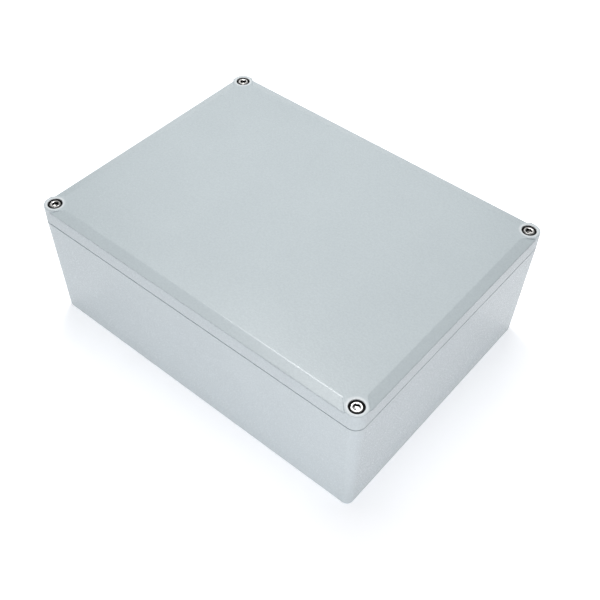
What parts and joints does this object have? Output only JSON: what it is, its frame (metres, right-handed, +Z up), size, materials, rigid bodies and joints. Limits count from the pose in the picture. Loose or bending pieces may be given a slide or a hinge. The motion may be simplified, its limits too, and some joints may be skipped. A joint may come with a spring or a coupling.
{
  "type": "wiring cabinet",
  "caption": "Closed rectangular cast metal wiring cabinet: deep drafted case, bevelled lid held by a screw in each corner, mounting plate and earth stud inside.",
  "frame": {"origin": "middle of the base, on the surface that the cabinet lies on", "axes": "+X along the long side, +Y along the short side towards the rear, +Z up through the lid"},
  "size_m": [0.4, 0.3, 0.147],
  "materials": {
    "powder_coat": "satin",
    "seal_rubber": "matte",
    "stainless_steel": "satin",
    "galvanised_steel": "satin",
    "zinc_plate": "satin",
    "earth_brass": "satin",
    "ring_plastic": "matte"
  },
  "bodies": {
    "case": {"case": "powder_coat", "mounting_plate": "galvanised_steel", "earth_stud": "earth_brass", "earth_washer_lower": "earth_brass", "earth_nut_lower": "earth_brass", "earth_washer_upper": "earth_brass", "earth_nut_upper": "earth_brass", "plate_screw_front_left": "zinc_plate", "plate_screw_front_right": "zinc_plate", "plate_screw_rear_left": "zinc_plate", "plate_screw_rear_right": "zinc_plate", "plate_washer_front_left": "zinc_plate", "plate_washer_front_right": "zinc_plate", "plate_washer_rear_left": "zinc_plate", "plate_washer_rear_right": "zinc_plate"},
    "lid": {"lid": "powder_coat", "lid_gasket": "seal_rubber", "screw_seal_front_left": "seal_rubber", "screw_seal_front_right": "seal_rubber", "screw_seal_rear_left": "seal_rubber", "screw_seal_rear_right": "seal_rubber"},
    "ring_front_left": {"retaining_ring_front_left": "ring_plastic"},
    "screw_front_left": {"lid_screw_front_left": "stainless_steel"},
    "ring_front_right": {"retaining_ring_front_right": "ring_plastic"},
    "screw_front_right": {"lid_screw_front_right": "stainless_steel"},
    "ring_rear_left": {"retaining_ring_rear_left": "ring_plastic"},
    "screw_rear_left": {"lid_screw_rear_left": "stainless_steel"},
    "ring_rear_right": {"retaining_ring_rear_right": "ring_plastic"},
    "screw_rear_right": {"lid_screw_rear_right": "stainless_steel"}
  },
  "joints": [
    {"name": "lid_lift", "type": "slide", "parent": "case", "child": "lid", "axis": [0, 0, 1], "range_m": [0, 0.2]},
    {"name": "screw_rise_front_left", "type": "slide", "parent": "lid", "child": "ring_front_left", "axis": [0, 0, 1], "range_m": [0, 0.0075]},
    {"name": "screw_turn_front_left", "type": "hinge", "parent": "ring_front_left", "child": "screw_front_left", "pos_m": [-0.189, -0.139, 0.14], "axis": [0, 0, 1], "range_deg": [0, 2700]},
    {"name": "screw_rise_front_right", "type": "slide", "parent": "lid", "child": "ring_front_right", "axis": [0, 0, 1], "range_m": [0, 0.0075]},
    {"name": "screw_turn_front_right", "type": "hinge", "parent": "ring_front_right", "child": "screw_front_right", "pos_m": [0.189, -0.139, 0.14], "axis": [0, 0, 1], "range_deg": [0, 2700]},
    {"name": "screw_rise_rear_left", "type": "slide", "parent": "lid", "child": "ring_rear_left", "axis": [0, 0, 1], "range_m": [0, 0.0075]},
    {"name": "screw_turn_rear_left", "type": "hinge", "parent": "ring_rear_left", "child": "screw_rear_left", "pos_m": [-0.189, 0.139, 0.14], "axis": [0, 0, 1], "range_deg": [0, 2700]},
    {"name": "screw_rise_rear_right", "type": "slide", "parent": "lid", "child": "ring_rear_right", "axis": [0, 0, 1], "range_m": [0, 0.0075]},
    {"name": "screw_turn_rear_right", "type": "hinge", "parent": "ring_rear_right", "child": "screw_rear_right", "pos_m": [0.189, 0.139, 0.14], "axis": [0, 0, 1], "range_deg": [0, 2700]}
  ],
  "couplings": [
    {"joint": "screw_turn_front_left", "follows": "screw_rise_front_left", "rad_per_m": 6283.2},
    {"joint": "screw_turn_front_right", "follows": "screw_rise_front_right", "rad_per_m": 6283.2},
    {"joint": "screw_turn_rear_left", "follows": "screw_rise_rear_left", "rad_per_m": 6283.2},
    {"joint": "screw_turn_rear_right", "follows": "screw_rise_rear_right", "rad_per_m": 6283.2}
  ]
}
